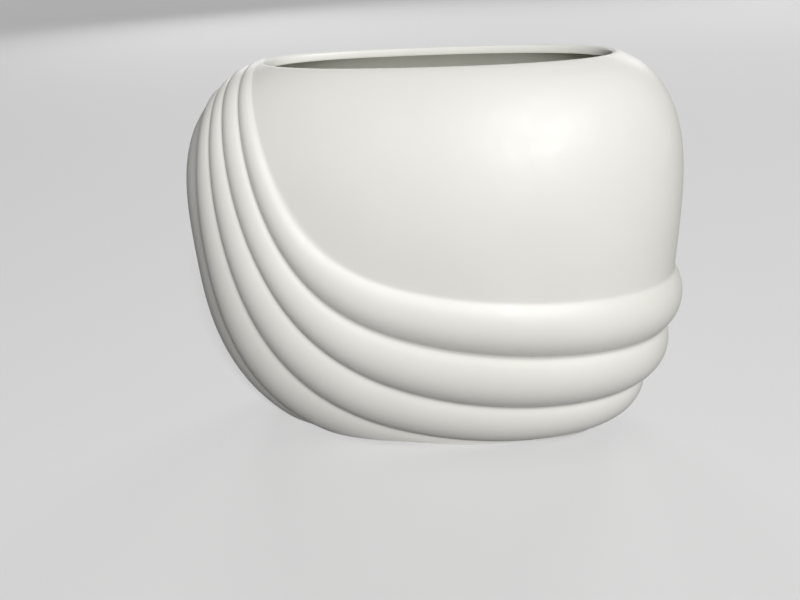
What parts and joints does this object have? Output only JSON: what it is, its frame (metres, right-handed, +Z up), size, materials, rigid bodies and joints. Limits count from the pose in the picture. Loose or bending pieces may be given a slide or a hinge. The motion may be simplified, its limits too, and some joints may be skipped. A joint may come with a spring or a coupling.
{
  "type": "vase",
  "caption": "Pillow-shaped vase with a long slot mouth and a low oval foot, draped with rolled folds that hang from its left shoulder and run round its right side.",
  "frame": {"origin": "on the surface the vase stands on, under the middle of its overall length and thickness", "axes": "+X along the length, towards the end that the folds run round; +Y through the thickness, away from the front; +Z up"},
  "size_m": [0.1998, 0.1028, 0.1562],
  "materials": {
    "bisque_porcelain": "matt, unglazed, smooth and slightly warm white",
    "inside_glaze": "clear glossy glaze over white porcelain"
  },
  "bodies": {
    "root": {"vase_body": "bisque_porcelain", "glaze_lining": "inside_glaze"}
  },
  "joints": []
}
